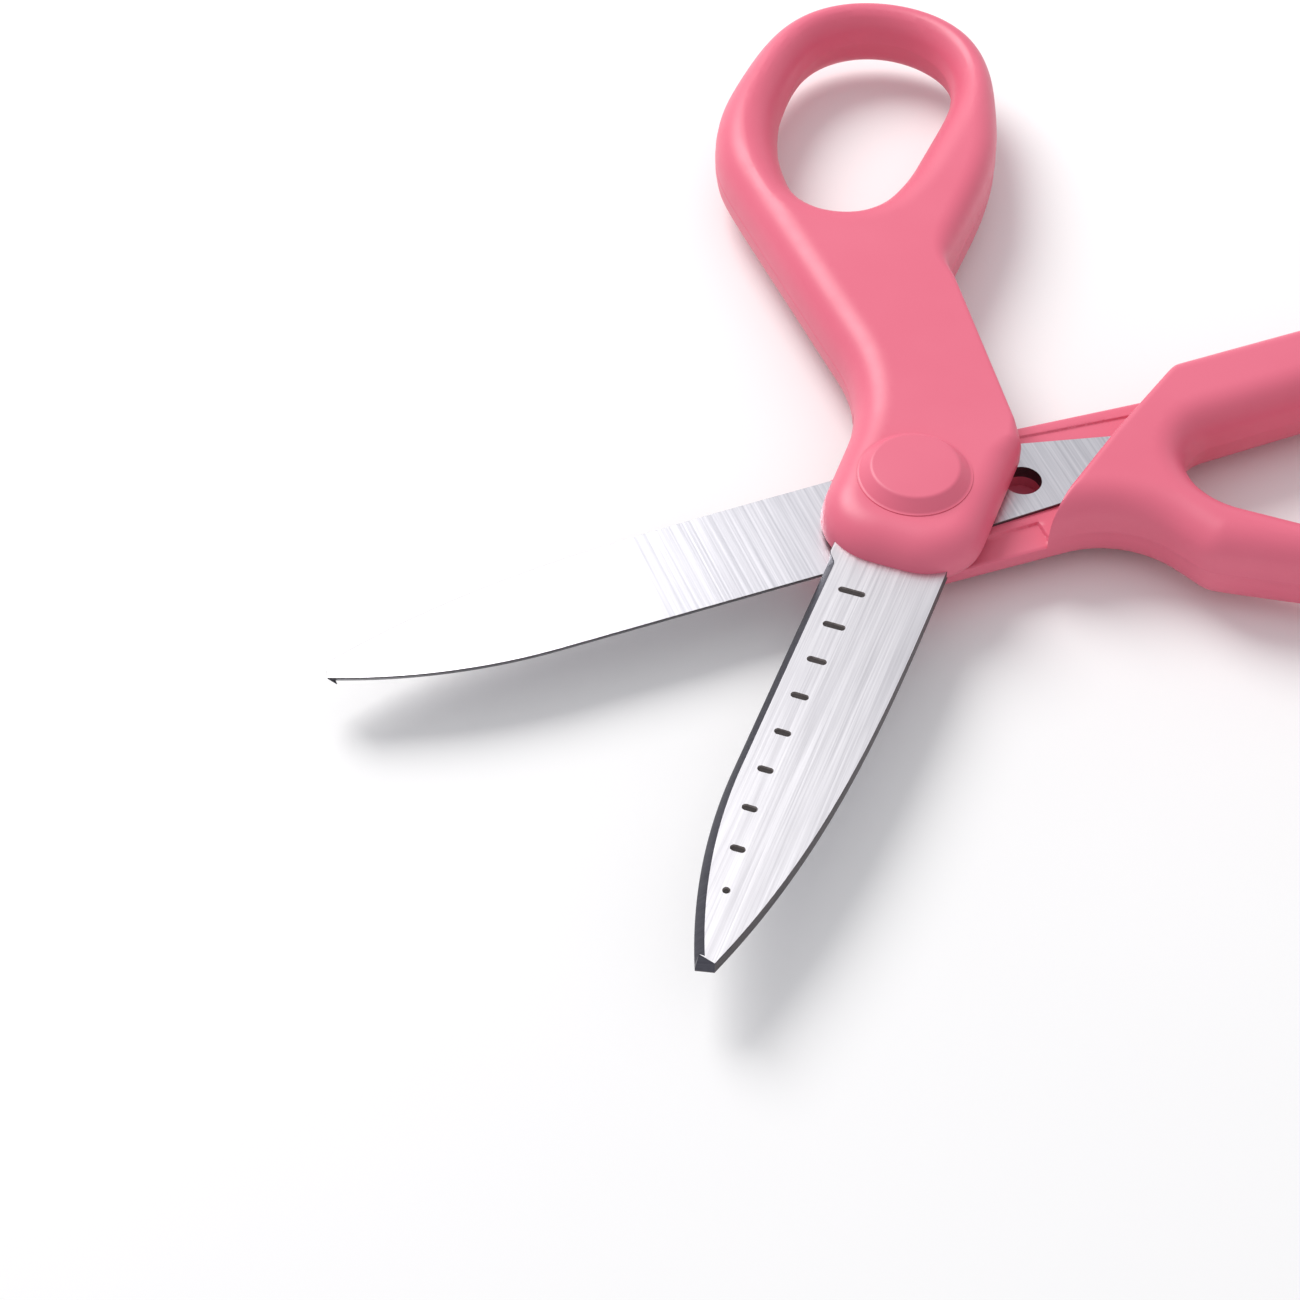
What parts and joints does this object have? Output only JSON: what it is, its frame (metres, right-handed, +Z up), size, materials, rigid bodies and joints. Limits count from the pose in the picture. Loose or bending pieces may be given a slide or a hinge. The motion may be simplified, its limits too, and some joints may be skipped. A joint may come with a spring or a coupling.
{
  "type": "scissors",
  "caption": "Household scissors with plain steel blades, moulded plastic handles with a thumb loop and a longer finger loop, and a capped riveted pivot, lying open.",
  "frame": {"origin": "on the pivot axis, at the flat face of the lower pivot cap that the scissors rest on", "axes": "+Z up along the pivot axis, +Y along the line that halves the angle between the two blades, towards their tips, +X across, on the thumb handle's side"},
  "size_m": [0.1456, 0.1555, 0.0146],
  "materials": {
    "handle_plastic": "satin moulded plastic, rose pink",
    "cap_plastic": "satin moulded plastic, rose pink",
    "blade_steel": "ground stainless steel with a darker bevel",
    "rivet_steel": "bright drawn steel",
    "zinc_steel": "zinc-plated spring steel",
    "nylon": "natural nylon"
  },
  "bodies": {
    "lower_half": {"rear_handle": "handle_plastic", "rear_blade": "blade_steel", "rear_cap": "cap_plastic", "pivot_rivet": "rivet_steel", "slip_washer": "nylon", "spring_washer": "zinc_steel"},
    "upper_half": {"front_handle": "handle_plastic", "front_blade": "blade_steel", "front_cap": "cap_plastic", "flat_washer": "zinc_steel"}
  },
  "joints": [
    {"name": "pivot", "type": "hinge", "parent": "lower_half", "child": "upper_half", "pos_m": [0, 0, 0.0073], "axis": [0, 0, 1], "range_deg": [-47, 55]}
  ]
}
